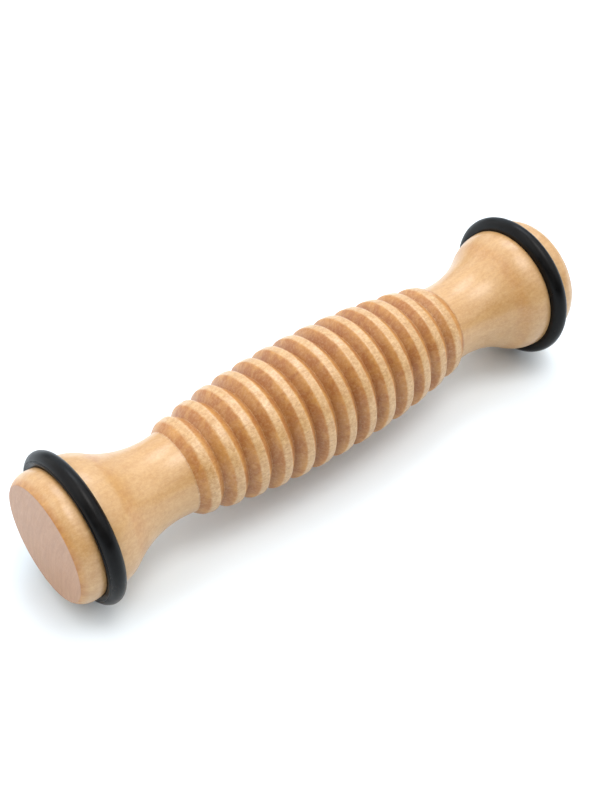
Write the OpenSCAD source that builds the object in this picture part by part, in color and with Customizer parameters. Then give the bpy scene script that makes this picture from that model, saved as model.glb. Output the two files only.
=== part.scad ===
// Foot massage roller: a bar turned from one piece of wood, with a rubber ring
// stretched into a groove near each end. The roller stands on the rings and rolls
// on them, while a foot presses on the ridged barrel between its two waists.
// Its axis lies along X. The origin is on the floor, under the middle of the axis.

/* [Overall] */
// Length over the two end faces
length = 203; // [200:1:215]
// Diameter over the rubber rings
ring_od = 51.4; // [51:0.1:52.4]

/* [Wooden ends] */
// Largest diameter of the wood, at the rims and the shoulders
end_d = 43.6; // [43:0.1:44.4]
// Diameter of the flat end faces
face_d = 39; // [36:0.5:41]
// Distance from an end face to the widest part of its rim
rim_x = 4.9; // [3:0.1:6]
// Radius of the low crown on each side of a ring
crown_r = 14.4; // [12:0.1:17]

/* [Rubber rings] */
// Thickness of the round rubber cord
cord_d = 5.7; // [5.3:0.1:6]
// Distance from an end face to the middle of its ring
ring_x = 10.3; // [9.5:0.1:11]
// How much larger the radius of the round groove is than the cord's
groove_play = 0.1; // [0.05:0.05:0.3]

/* [Waists] */
// Diameter of the thinnest point of a waist
waist_d = 26.8; // [24:0.1:29]
// Distance from an end face to the thinnest point of its waist
waist_x = 41.2; // [40:0.1:43]
// Radius of the hollow curve of a waist
waist_r = 35.3; // [32:0.1:37]

/* [Ridges] */
// Number of ridges on the barrel
ridge_count = 13; // [11:2:13]
// Distance from one ridge to the next
ridge_pitch = 8.44; // [8:0.01:8.6]
// Width of the flat land on top of a ridge
land_w = 2.9; // [2:0.1:4]
// Diameter over the middle ridge
barrel_d = 42.5; // [40:0.1:46]
// How much less the diameter over the outermost ridges is
barrel_drop = 9.9; // [8:0.1:11]
// How late the barrel tapers: 2 is an even arc, and more keeps the middle fuller
barrel_power = 2.26; // [2:0.01:3]
// Depth of the grooves in the middle of the barrel
mid_groove = 3.1; // [2:0.1:4]
// Depth of the grooves at the ends of the barrel
end_groove = 2.1; // [1.5:0.1:3]

/* [Hidden] */
$fn = 120;

axis_z = ring_od / 2;
end_r = end_d / 2;
cord_path_r = (ring_od - cord_d) / 2;
groove_r = cord_d / 2 + groove_play;
groove_path_r = cord_path_r + groove_play;

// The rim's front curve runs from the edge of the end face to the widest point.
rim_rise = (end_d - face_d) / 2;
rim_r = (rim_x * rim_x + rim_rise * rim_rise) / (2 * rim_rise);

// A shoulder's crown and its waist's hollow are two arcs that touch smoothly.
hollow_r = waist_d / 2 + waist_r;
crown_path_r = end_r - crown_r;
arcs_apart = crown_r + waist_r;
shoulder_x = waist_x - sqrt(pow(arcs_apart, 2) - pow(hollow_r - crown_path_r, 2));
meet_x = shoulder_x + (waist_x - shoulder_x) * crown_r / arcs_apart;
meet_r = crown_path_r + (hollow_r - crown_path_r) * crown_r / arcs_apart;

// The barrel: its outermost ridges are centred half_span from the middle.
half_span = (ridge_count - 1) / 2 * ridge_pitch;
foot_x = length / 2 - half_span - ridge_pitch / 2;
foot_r = hollow_r - sqrt(pow(waist_r, 2) - pow(foot_x - waist_x, 2));

// Radius over the ridges, and depth of the grooves, at x from the middle.
function crest_r(x) = (barrel_d - barrel_drop * pow(abs(x) / half_span, barrel_power)) / 2;
function depth(x) = mid_groove + (end_groove - mid_groove) * pow(x / half_span, 2);

// Both edges of each land, and the bottom of each groove between two lands.
function land(x) = [for (edge = [x - land_w / 2, x + land_w / 2]) [crest_r(edge), edge]];
function valley(x) = [crest_r(x) - depth(x), x];

// In every outline X is the radius, and Y runs along the axis.
module barrel_outline() {
    centres = [for (i = [0 : ridge_count - 1]) i * ridge_pitch - half_span];
    inner = [for (x = centres) each (x < half_span - ridge_pitch / 2
        ? [each land(x), valley(x + ridge_pitch / 2)]
        : land(x))];
    foot = half_span + ridge_pitch / 2;
    polygon([[0, -foot], [foot_r, -foot], each inner, [foot_r, foot], [0, foot]]);
}

// A slice of an outline from one distance along the axis to another.
module band(from, to, height) {
    translate([0, from])
        square([height, to - from]);
}

// One end, with Y measured from its end face.
module end_outline() {
    band(0, rim_x, face_d / 2);
    intersection() {
        translate([end_r - rim_r, rim_x]) circle(rim_r);
        band(0, rim_x, end_d);
    }
    difference() {
        union() {
            intersection() {
                translate([crown_path_r, rim_x]) circle(crown_r);
                band(rim_x, ring_x, end_d);
            }
            intersection() {
                translate([crown_path_r, shoulder_x]) circle(crown_r);
                band(ring_x, meet_x, end_d);
            }
        }
        translate([groove_path_r, ring_x]) circle(groove_r);
    }
    difference() {
        band(meet_x, foot_x, meet_r);
        translate([hollow_r, waist_x]) circle(waist_r);
    }
}

// Turns an outline about the roller's axis, and lifts it to its height.
module turned() {
    translate([0, 0, axis_z])
        rotate([0, 90, 0])
            rotate_extrude()
                children();
}

module roller_body() {
    color([0.87, 0.69, 0.46])
        turned() {
            barrel_outline();
            for (side = [0, 1])
                mirror([0, side])
                    translate([0, -length / 2])
                        end_outline();
        }
}

module rubber_ring(x) {
    color([0.13, 0.13, 0.14])
        turned()
            translate([cord_path_r, x])
                circle(cord_d / 2);
}

module left_rubber_ring() {
    rubber_ring(ring_x - length / 2);
}

module right_rubber_ring() {
    rubber_ring(length / 2 - ring_x);
}

roller_body();
left_rubber_ring();
right_rubber_ring();
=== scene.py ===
"""A turned wooden foot massage roller with a rubber ring near each end, on a white studio floor.

The lengths below are in millimetres, and they are the ones that the solids don't state by
themselves. The rest is read from the frame. Meshes and the scene are in metres.
"""
import math

import bpy
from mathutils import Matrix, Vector, noise


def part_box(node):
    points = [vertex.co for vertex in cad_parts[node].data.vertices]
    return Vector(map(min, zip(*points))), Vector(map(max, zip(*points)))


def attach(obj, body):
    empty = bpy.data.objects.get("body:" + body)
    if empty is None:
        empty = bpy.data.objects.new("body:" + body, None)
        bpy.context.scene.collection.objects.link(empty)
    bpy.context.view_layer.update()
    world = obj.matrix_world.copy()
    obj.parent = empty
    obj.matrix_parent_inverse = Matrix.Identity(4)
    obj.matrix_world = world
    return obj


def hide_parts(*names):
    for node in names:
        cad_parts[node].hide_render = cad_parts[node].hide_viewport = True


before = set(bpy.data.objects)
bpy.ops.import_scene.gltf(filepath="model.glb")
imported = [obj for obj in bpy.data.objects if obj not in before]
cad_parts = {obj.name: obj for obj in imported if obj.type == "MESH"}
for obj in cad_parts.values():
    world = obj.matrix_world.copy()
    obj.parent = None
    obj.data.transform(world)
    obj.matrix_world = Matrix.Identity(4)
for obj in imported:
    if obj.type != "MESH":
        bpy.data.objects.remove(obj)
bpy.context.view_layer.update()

MM = 0.001             # one millimetre, in the scene's metres
ROUND_STEPS = 160      # points round the bar and round each ring

# ---------------------------------------------------------------- sizes from the frame
body_low, body_high = (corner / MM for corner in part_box("roller_body"))
ring_low, ring_high = (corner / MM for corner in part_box("left_rubber_ring"))

length = body_high.x - body_low.x
end_r = (body_high.z - body_low.z) / 2
axis_z = (body_high.z + body_low.z) / 2
cord_r = (ring_high.x - ring_low.x) / 2
cord_path_r = (ring_high.z - ring_low.z) / 2 - cord_r
ring_x = (ring_high.x + ring_low.x) / 2 + length / 2    # from the end's face

# ---------------------------------------------------------------- the rest of the turning
FACE_R = 19.5          # radius of the flat face
RIM_X = 4.9            # from the face to the widest part of the rim
CROWN_R = 14.4         # radius of the curve that the rim and the shoulder share
GROOVE_PLAY = 0.1      # how much rounder a groove is than the cord of its ring
WAIST_RADIUS = 13.4    # the bar's radius at its thinnest
WAIST_X = 41.2         # from the face to the thinnest place
WAIST_HOLLOW_R = 35.3  # radius of the waist's hollow curve
RIDGES = 13
PITCH = 8.44           # from one ridge to the next
LAND_W = 2.9           # width of a ridge's flat top
BARREL_R = 21.25       # radius over the middle ridge
BARREL_DROP = 4.95     # how much less that is over the last ridge
BARREL_POWER = 2.26    # how late the barrel falls away, 2 being a parabola
MID_GROOVE = 3.1       # depth of the grooves in the middle
END_GROOVE = 2.1       # depth of the grooves at the last ridge

# How far from each kind of corner its small curve begins
FACE_EDGE = 0.22
SEAT_EDGE = 0.3
LAND_EDGE = 0.6
VALLEY = 0.12
FOOT = 0.15
CORNER_STEPS = 6
PROP = 0.04            # from a stroke's end to the point that props its shading

half_span = (RIDGES - 1) / 2 * PITCH     # from the middle to the last ridge
half_barrel = half_span + PITCH / 2      # from the middle to the foot of the last ridge


def crest_r(x):
    """Radius over the ridges, at x from the middle."""
    return BARREL_R - BARREL_DROP * abs(x / half_span) ** BARREL_POWER


def valley_r(x):
    """Radius at the bottom of a groove, at x from the middle."""
    depth = MID_GROOVE + (END_GROOVE - MID_GROOVE) * (x / half_span) ** 2
    return crest_r(x) - depth


# ---------------------------------------------------------------- outlines
# An outline is a list of strokes in (distance along the axis, radius), each smooth in
# itself. Where two strokes meet there is a corner, which becomes a small curve.

def arc(centre, radius, start, end, steps):
    """Points on a circle from one x to another, on its upper half (radius > 0) or lower."""
    points = []
    for i in range(steps + 1):
        x = start + (end - start) * i / steps
        rise = math.sqrt(max(radius * radius - (x - centre[0]) ** 2, 0.0))
        points.append(Vector((x, centre[1] + math.copysign(rise, radius))))
    return points


def crossing(f, low, high):
    """Where f changes sign between low and high."""
    for _ in range(60):
        middle = (low + high) / 2
        if f(low) * f(middle) > 0:
            low = middle
        else:
            high = middle
    return (low + high) / 2


def end_strokes():
    """One end, from the middle of its face to the foot of the first ridge."""
    rise = end_r - FACE_R
    rim_r = (RIM_X ** 2 + rise ** 2) / (2 * rise)
    groove_r = cord_r + GROOVE_PLAY
    groove = (ring_x, cord_path_r + GROOVE_PLAY)
    crown_path = end_r - CROWN_R
    hollow = (WAIST_X, WAIST_RADIUS + WAIST_HOLLOW_R)
    apart = CROWN_R + WAIST_HOLLOW_R
    shoulder_x = WAIST_X - math.sqrt(apart ** 2 - (hollow[1] - crown_path) ** 2)
    meet_x = shoulder_x + (WAIST_X - shoulder_x) * CROWN_R / apart
    foot_x = length / 2 - half_barrel

    def over_groove(middle):
        def gap(x):
            seat = groove[1] - math.sqrt(max(groove_r ** 2 - (x - ring_x) ** 2, 0.0))
            return crown_path + math.sqrt(CROWN_R ** 2 - (x - middle) ** 2) - seat
        return gap

    edge_a = crossing(over_groove(RIM_X), ring_x - groove_r, ring_x)
    edge_b = crossing(over_groove(shoulder_x), ring_x, ring_x + groove_r)
    face = [Vector((0, r)) for r in (0, 5, 10, 14, 17, FACE_R)]
    rim = arc((RIM_X, end_r - rim_r), rim_r, 0, RIM_X, 18)
    rim += arc((RIM_X, crown_path), CROWN_R, RIM_X, edge_a, 8)[1:]
    seat = arc(groove, -groove_r, edge_a, edge_b, 16)
    waist = arc((shoulder_x, crown_path), CROWN_R, edge_b, meet_x, 16)
    waist += arc(hollow, -WAIST_HOLLOW_R, meet_x, foot_x, 34)[1:]
    return [face, rim, seat, waist], [FACE_EDGE, SEAT_EDGE, SEAT_EDGE]


def barrel_strokes(foot_r):
    """The ridges, from foot to foot, with x measured from the middle."""
    corners = [Vector((-half_barrel, foot_r))]
    cuts = []
    for i in range(RIDGES):
        x = i * PITCH - half_span
        for edge in (x - LAND_W / 2, x + LAND_W / 2):
            corners.append(Vector((edge, crest_r(edge))))
            cuts.append(LAND_EDGE)
        if i < RIDGES - 1:
            corners.append(Vector((x + PITCH / 2, valley_r(x + PITCH / 2))))
            cuts.append(VALLEY)
    corners.append(Vector((half_barrel, foot_r)))
    return [[a, b] for a, b in zip(corners, corners[1:])], cuts


def trimmed(stroke, cut):
    """The stroke without the first cut of its length."""
    for i, (a, b) in enumerate(zip(stroke, stroke[1:])):
        step = (b - a).length
        if cut < step:
            return [a + (b - a) * (cut / step)] + stroke[i + 1:]
        cut -= step
    raise ValueError("the cut is longer than the stroke")


def propped(stroke, reach):
    """The stroke with a point close to each end, which keeps its shading straight."""
    first = (stroke[1] - stroke[0]).normalized() * reach
    last = (stroke[-2] - stroke[-1]).normalized() * reach
    return [stroke[0], stroke[0] + first] + stroke[1:-1] + [stroke[-1] + last, stroke[-1]]


def joined(strokes, cuts):
    """One line through the strokes, with each corner turned into a small curve."""
    line = []
    for i, stroke in enumerate(strokes):
        if i > 0:
            stroke = trimmed(stroke, cuts[i - 1])
        if i < len(cuts):
            stroke = trimmed(stroke[::-1], cuts[i])[::-1]
        stroke = propped(stroke, PROP)
        if i > 0:
            a, corner, b = line[-1], strokes[i][0], stroke[0]
            for k in range(1, CORNER_STEPS):
                t = k / CORNER_STEPS
                line.append(a * (1 - t) ** 2 + corner * (2 * t * (1 - t)) + b * t ** 2)
        line += stroke
    return line


def bar_outline():
    """The whole bar, with x measured from its middle."""
    strokes, cuts = end_strokes()
    left = [[p - Vector((length / 2, 0)) for p in s] for s in strokes]
    right = [[Vector((-p.x, p.y)) for p in reversed(s)] for s in reversed(left)]
    barrel, barrel_cuts = barrel_strokes(left[-1][-1].y)
    all_cuts = cuts + [FOOT] + barrel_cuts + [FOOT] + cuts[::-1]
    return joined(left + barrel + right, all_cuts)


# ---------------------------------------------------------------- meshes

def new_object(name, vertices, faces):
    """A smooth-shaded mesh object in the scene."""
    mesh = bpy.data.meshes.new(name)
    mesh.from_pydata(vertices, [], faces)
    mesh.shade_smooth()
    mesh.validate()
    piece = bpy.data.objects.new(name, mesh)
    bpy.context.scene.collection.objects.link(piece)
    return piece


def turned_point(x, r, turn):
    """A point at x along the axis and r from it, in metres. A turn of 0 is on top."""
    return (x * MM, r * math.sin(turn) * MM, (axis_z + r * math.cos(turn)) * MM)


def turned_bar(name):
    """The bar's outline turned about its axis, closed by a point at each end."""
    line = bar_outline()
    vertices = [turned_point(line[0].x, 0, 0), turned_point(line[-1].x, 0, 0)]
    rings = line[1:-1]
    for p in rings:
        for k in range(ROUND_STEPS):
            vertices.append(turned_point(p.x, p.y, 2 * math.pi * k / ROUND_STEPS))
    faces = []
    last = 2 + (len(rings) - 1) * ROUND_STEPS
    for k in range(ROUND_STEPS):
        n = (k + 1) % ROUND_STEPS
        faces.append((0, 2 + k, 2 + n))
        faces.append((1, last + n, last + k))
        for i in range(len(rings) - 1):
            a = 2 + i * ROUND_STEPS
            b = a + ROUND_STEPS
            faces.append((a + k, b + k, b + n, a + n))
    return new_object(name, vertices, faces)


# The ring's mould leaves a fine groove with a lip beside it, at a turn round the cord
PARTING_TURN = math.radians(77)
PARTING_DEPTH = 0.26
PARTING_WIDTH = 0.2
LIP_HEIGHT = 0.19
LIP_WIDTH = 0.17
LIP_PLACE = 0.40       # from the groove to the lip
CORD_STEPS = 56
FINE_STEP = 0.045      # between points across the groove and the lip
WORN_MEAN = 0.8        # how strong the parting line is, and how far that varies
WORN_RANGE = 0.6
WORN_SCALE = 2.5
RING_SEED = 3.0        # sets the two rings' wear apart


def cord_section():
    """Angles round the cord, finer along the parting line."""
    angles = [2 * math.pi * k / CORD_STEPS for k in range(CORD_STEPS)]
    angles += [PARTING_TURN + step * FINE_STEP / cord_r for step in range(-9, 19)]
    return sorted(a % (2 * math.pi) for a in angles)


def parting_line(angle):
    """How far the cord's surface stands out at an angle, because of the parting line."""
    along = (angle - PARTING_TURN) * cord_r
    groove = PARTING_DEPTH * math.exp(-((along / PARTING_WIDTH) ** 2))
    lip = LIP_HEIGHT * math.exp(-(((along - LIP_PLACE) / LIP_WIDTH) ** 2))
    return lip - groove


def rubber_ring(name, side):
    """A moulded ring. side is -1 for the left one and 1 for the right one."""
    angles = cord_section()
    vertices = []
    for k in range(ROUND_STEPS):
        turn = 2 * math.pi * k / ROUND_STEPS
        place = Vector((math.cos(turn), math.sin(turn), side * RING_SEED))
        strength = WORN_MEAN + WORN_RANGE * noise.noise(place * WORN_SCALE)
        for angle in angles:
            r = cord_r + parting_line(angle) * strength
            x = side * (length / 2 - ring_x + r * math.sin(angle))
            vertices.append(turned_point(x, cord_path_r + r * math.cos(angle), turn))
    faces = []
    count = len(angles)
    for k in range(ROUND_STEPS):
        a, b = k * count, (k + 1) % ROUND_STEPS * count
        for i in range(count):
            j = (i + 1) % count
            quad = (a + i, b + i, b + j, a + j)
            faces.append(quad if side < 0 else quad[::-1])
    return new_object(name, vertices, faces)


# ---------------------------------------------------------------- materials

class Shader:
    """A short way to add nodes to a material."""

    def __init__(self, name):
        self.material = bpy.data.materials.new(name)
        self.material.use_nodes = True
        self.nodes = self.material.node_tree.nodes
        self.surface = self.nodes["Principled BSDF"]

    def wire(self, value, socket):
        if isinstance(value, bpy.types.NodeSocket):
            self.material.node_tree.links.new(value, socket)
        else:
            socket.default_value = value

    def add(self, kind, inputs=None, out=0, **settings):
        node = self.nodes.new(kind)
        for key, value in settings.items():
            setattr(node, key, value)
        for key, value in (inputs or {}).items():
            self.wire(value, node.inputs[key])
        return node.outputs[out]

    def math(self, operation, a, b=0.0):
        return self.add("ShaderNodeMath", {0: a, 1: b}, operation=operation)

    def spread(self, value, low, high, to_low=0.0, to_high=1.0, smooth=False):
        """The value, with low to high drawn out to to_low to to_high and held beyond."""
        kind = "SMOOTHSTEP" if smooth else "LINEAR"
        inputs = {0: value, 1: low, 2: high, 3: to_low, 4: to_high}
        return self.add("ShaderNodeMapRange", inputs, interpolation_type=kind)

    def scaled(self, place, scale, shift=(0, 0, 0)):
        return self.add("ShaderNodeMapping", {"Vector": place, "Location": shift, "Scale": scale})

    def noise(self, place, scale=1.0, detail=3.0, rough=0.55, warp=0.0):
        inputs = {"Vector": place, "Scale": scale, "Detail": detail, "Roughness": rough,
                  "Distortion": warp}
        return self.add("ShaderNodeTexNoise", inputs)

    def mix(self, factor, a, b):
        node = self.nodes.new("ShaderNodeMix")
        node.data_type = "RGBA"
        self.wire(factor, node.inputs["Factor"])
        self.wire(a, node.inputs[6])
        self.wire(b, node.inputs[7])
        return node.outputs[2]

    def in_mm(self):
        """The object's own coordinates, in millimetres."""
        coords = self.nodes.new("ShaderNodeTexCoord")
        return self.scaled(coords.outputs["Object"], (1 / MM, 1 / MM, 1 / MM))

    def along(self, vector):
        """The size of the vector's X part."""
        return self.math("ABSOLUTE", self.add("ShaderNodeSeparateXYZ", {0: vector}))

    def length(self, vector):
        return self.add("ShaderNodeVectorMath", {0: vector}, out=1, operation="LENGTH")

    def finish(self, **inputs):
        for key, value in inputs.items():
            self.wire(value, self.surface.inputs[key.replace("_", " ")])
        return self.material


# How the wood's figure lies, in millimetres
PITH = (0, 62, -4)         # added to a place to measure from the pith, outside the bar
YEAR = 2.3                 # one year's growth
BARREL_FADE = (0.7, 0.1)   # past the barrel's foot, where its roughness starts and is full
GROOVE_SHADE_FADE = (0.3, 2.1)   # below the crest line, where the painted groove shade starts and is darkest


def late_wood(s, place, away):
    """1 in the late wood of each year, whose rings wander a little along the grain."""
    sway = s.noise(s.scaled(place, (0.008, 0.035, 0.035)), 1.0, 2.0)
    wander = s.noise(s.scaled(place, (0.03, 0.25, 0.25), (4, 0, 9)), 1.0, 2.0)
    years = s.math("ADD", s.math("DIVIDE", away, YEAR), s.math("MULTIPLY", sway, 7.0))
    years = s.math("ADD", years, s.math("MULTIPLY", wander, 1.2))
    season = s.math("FRACT", years)
    return s.math("MULTIPLY", s.spread(season, 0.2, 0.9, smooth=True),
                  s.spread(season, 1.0, 0.9, smooth=True))


def growth_bands(s, place, away):
    """Fine bands, which only the end grain shows."""
    height = s.add("ShaderNodeSeparateXYZ", {0: place}, out=2)
    banded = s.add("ShaderNodeCombineXYZ", {0: s.math("MULTIPLY", away, 0.85),
                                            1: s.math("MULTIPLY", height, 0.07)})
    return s.noise(banded, 1.0, 4.0, 0.7, 0.4)


def groove_depth(s, place, from_middle):
    """How far a place lies below the crest line of the barrel."""
    swell = s.math("POWER", s.math("DIVIDE", from_middle, half_span), BARREL_POWER)
    crest = s.math("SUBTRACT", BARREL_R, s.math("MULTIPLY", swell, BARREL_DROP))
    radius = s.length(s.scaled(place, (0, 1, 1), (0, 0, -axis_z)))
    return s.math("SUBTRACT", crest, radius)


def grain_colour(s, place, away, cloud, steep, across_grain):
    """Bare side grain, the steep cuts, which soak up the finish, and the sanded end faces."""
    figure = s.noise(s.scaled(place, (0.045, 0.11, 0.11)), 1.0, 3.0, 0.5, 1.2)
    side = s.mix(s.spread(figure, 0.33, 0.68, smooth=True), (0.565, 0.334, 0.142, 1),
                 (0.515, 0.287, 0.109, 1))
    side = s.mix(s.spread(cloud, 0.45, 0.75, 0.0, 0.26), side, (0.440, 0.218, 0.070, 1))
    cut = s.mix(s.spread(cloud, 0.38, 0.62, smooth=True), (0.550, 0.257, 0.057, 1),
                (0.425, 0.157, 0.029, 1))
    flat = s.mix(s.spread(growth_bands(s, place, away), 0.3, 0.7),
                 (0.450, 0.227, 0.109, 1), (0.358, 0.164, 0.073, 1))
    end_face = s.spread(across_grain, 0.84, 0.95, smooth=True)
    return s.mix(end_face, s.mix(steep, side, cut), flat)


def marked(s, colour, late, fibre, fleck, pores, ribbed):
    """The colour with its late wood, fibres, flecks and pores."""
    colour = s.mix(s.math("MULTIPLY", late, 0.10), colour, (0.32, 0.14, 0.05, 1))
    colour = s.mix(s.spread(fibre, 0.35, 0.75, 0.0, 0.09), colour, (0.42, 0.21, 0.08, 1))
    pale_fleck = s.math("MULTIPLY", s.spread(fleck, 0.45, 0.75, 0.0, 0.48), ribbed)
    colour = s.mix(pale_fleck, colour, (0.76, 0.54, 0.30, 1))
    dark_fleck = s.math("MULTIPLY", s.spread(fleck, 0.48, 0.25, 0.0, 0.28), ribbed)
    colour = s.mix(dark_fleck, colour, (0.34, 0.15, 0.05, 1))
    pore_mark = s.math("MULTIPLY", pores, s.math("MULTIPLY", ribbed, 0.28))
    return s.mix(pore_mark, colour, (0.26, 0.12, 0.045, 1))


def fine_relief(s, fibre, fleck, pores, ribbed):
    """Bump from the fibres, flecks and pores, strongest where the wood is rough."""
    height = s.math("ADD", s.math("MULTIPLY", fibre, 0.5), s.math("MULTIPLY", fleck, 0.5))
    height = s.math("ADD", height, s.math("MULTIPLY", pores, -0.8))
    height = s.math("MULTIPLY", height, ribbed)
    return s.add("ShaderNodeBump", {"Strength": 0.3, "Distance": 0.1 * MM, "Height": height})


def wood():
    """Pale diffuse-porous hardwood, with its grain along X, under a thin satin lacquer."""
    s = Shader("turned_wood")
    place = s.in_mm()
    coords = s.nodes.new("ShaderNodeTexCoord")
    across_grain = s.along(coords.outputs["Normal"])
    away = s.length(s.scaled(place, (0.0, 1.0, 1.0), PITH))

    # Soft clouds, fibres and pores drawn out along the grain, and rounder flecks
    cloud = s.noise(s.scaled(place, (0.16, 0.24, 0.24), (7, 3, 1)), 1.0, 3.0, 0.6, 0.5)
    fibre = s.noise(s.scaled(place, (0.22, 2.2, 2.2)), 1.0, 4.0, 0.65)
    fleck = s.noise(s.scaled(place, (0.8, 1.15, 1.15), (1, 8, 2)), 1.0, 4.0, 0.75)
    pore_field = s.noise(s.scaled(place, (0.8, 4.0, 4.0)), 1.0, 1.0, 0.4)
    pores = s.spread(pore_field, 0.63, 0.73, smooth=True)

    # 1 over the ridges and 0 over the ends
    from_middle = s.along(place)
    inside = s.spread(from_middle, half_barrel + BARREL_FADE[0],
                      half_barrel + BARREL_FADE[1], smooth=True)

    # The ridges are left rougher than the ends, but not on their steep sides
    steep = s.spread(s.math("ADD", across_grain, s.math("MULTIPLY", inside, 0.20)), 0.42, 0.78)
    ribbed = s.math("MULTIPLY", s.spread(inside, 0, 1, 0.6, 1.5),
                    s.spread(steep, 0, 1, 1.0, 0.38))

    # Painted shade, darker toward the bottom of each groove
    colour = grain_colour(s, place, away, cloud, steep, across_grain)
    depth = groove_depth(s, place, from_middle)
    groove_shade = s.spread(depth, GROOVE_SHADE_FADE[0], GROOVE_SHADE_FADE[1], 0.0, 0.56)
    colour = s.mix(s.math("MULTIPLY", inside, groove_shade), colour, (0.24, 0.072, 0.014, 1))
    colour = marked(s, colour, late_wood(s, place, away), fibre, fleck, pores, ribbed)

    rough = s.math("ADD", s.spread(cloud, 0.3, 0.7, 0.30, 0.38), s.math("MULTIPLY", steep, 0.2))
    bump = fine_relief(s, fibre, fleck, pores, ribbed)
    s.surface.inputs["Coat Weight"].default_value = 0.3
    s.surface.inputs["Coat Roughness"].default_value = 0.2
    return s.finish(Base_Color=colour, Roughness=rough, Normal=bump)


def rubber():
    """Matte black moulded rubber, slightly mottled where it has been handled."""
    s = Shader("ring_rubber")
    place = s.in_mm()
    mottle = s.noise(place, 0.35, 3.0)
    skin = s.noise(place, 4.5, 2.0)
    colour = s.mix(s.spread(mottle, 0.35, 0.7), (0.0027, 0.0025, 0.0025, 1),
                   (0.0052, 0.0049, 0.0051, 1))
    rough = s.spread(mottle, 0.3, 0.7, 0.27, 0.38)
    bump = s.add("ShaderNodeBump", {"Strength": 0.2, "Distance": 0.04 * MM, "Height": skin})
    s.surface.inputs["Specular IOR Level"].default_value = 0.14
    return s.finish(Base_Color=colour, Roughness=rough, Normal=bump)


# ---------------------------------------------------------------- the roller

def place_piece(piece, node, material):
    """Gives a piece its material and body, and takes the CAD node's place."""
    piece.data.materials.append(material)
    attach(piece, "root")
    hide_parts(node)


ring_rubber = rubber()
place_piece(turned_bar("turned_bar"), "roller_body", wood())
place_piece(rubber_ring("left_ring", -1), "left_rubber_ring", ring_rubber)
place_piece(rubber_ring("right_ring", 1), "right_rubber_ring", ring_rubber)


# ---------------------------------------------------------------- studio
FLOOR_HALF = 4.0              # in metres
VIEW_AZIMUTH = math.radians(38.84)
VIEW_ELEVATION = math.radians(43.5)
VIEW_DISTANCE = 471.7         # from the point aimed at
AIM_LEFT = 3.8                # of the bar's middle, as the camera sees it
AIM_DOWN = 1.32
LENS = 65.1                   # on a sensor of 36


def floor():
    """A plain pale floor, far larger than the view."""
    corners = [(x * FLOOR_HALF, y * FLOOR_HALF, 0)
               for x, y in ((-1, -1), (1, -1), (1, 1), (-1, 1))]
    plane = new_object("studio_floor", corners, [(0, 1, 2, 3)])
    s = Shader("studio_floor")
    plane.data.materials.append(s.finish(Base_Color=(0.806, 0.872, 0.918, 1), Roughness=0.9))


def soft_light(name, azimuth, elevation, spread, strength, warmth=0.0):
    """A soft box so far away that it lights everything alike, with its angles in degrees.

    Azimuth 0 is in front, at -Y, and 90 is at +X. Spread is the box's width as the roller sees
    it, strength is in watts per square metre, and warmth shifts the light from blue to red.
    """
    turn, lift = math.radians(azimuth), math.radians(elevation)
    away = Vector((math.sin(turn) * math.cos(lift), -math.cos(turn) * math.cos(lift),
                   math.sin(lift)))
    lamp = bpy.data.lights.new(name, "SUN")
    lamp.angle = math.radians(spread)
    lamp.energy = strength
    lamp.color = (1 + warmth, 1.0, 1 - warmth)
    light = bpy.data.objects.new(name, lamp)
    light.rotation_euler = away.to_track_quat("Z", "Y").to_euler()
    bpy.context.scene.collection.objects.link(light)


def white_surroundings():
    """White behind everything, which lights nothing by itself."""
    world = bpy.data.worlds.new("studio_white")
    world.use_nodes = True
    tree = world.node_tree
    background = tree.nodes["Background"]
    background.inputs["Color"].default_value = (1, 1, 1, 1)
    ray = tree.nodes.new("ShaderNodeLightPath")
    tree.links.new(ray.outputs["Is Camera Ray"], background.inputs["Strength"])
    bpy.context.scene.world = world


def camera():
    """Looks down at the roller from beyond its left end."""
    right = Vector((math.cos(VIEW_AZIMUTH), -math.sin(VIEW_AZIMUTH), 0))
    level = Vector((math.sin(VIEW_AZIMUTH), math.cos(VIEW_AZIMUTH), 0))
    high = Vector((0, 0, 1))
    forward = level * math.cos(VIEW_ELEVATION) - high * math.sin(VIEW_ELEVATION)
    up = level * math.sin(VIEW_ELEVATION) + high * math.cos(VIEW_ELEVATION)
    aim = Vector((0, 0, axis_z)) - right * AIM_LEFT - up * AIM_DOWN
    lens = bpy.data.cameras.new("camera")
    lens.lens = LENS
    lens.sensor_width = 36
    lens.clip_start = 0.01
    lens.clip_end = 20
    view = bpy.data.objects.new("camera", lens)
    view.location = (aim - forward * VIEW_DISTANCE) * MM
    view.rotation_euler = forward.to_track_quat("-Z", "Y").to_euler()
    bpy.context.scene.collection.objects.link(view)
    bpy.context.scene.camera = view


floor()
soft_light("overhead", 0, 90, 60, 0.35, 0.03)
soft_light("key", 140, 58, 26, 0.66, -0.07)
soft_light("top_front", 40, 74, 26, 0.73, 0.03)
soft_light("back", 141, 35, 60, 0.96, -0.12)
soft_light("low_back", 180, 15, 40, 0.20, -0.10)
soft_light("left_fill", 225, 35, 80, 2.05, -0.02)
soft_light("front_fill", 315, 60, 80, 0.78, 0.04)
soft_light("right_fill", 60, 50, 80, 1.9, -0.02)
white_surroundings()
camera()
bpy.context.scene.view_settings.view_transform = "Standard"
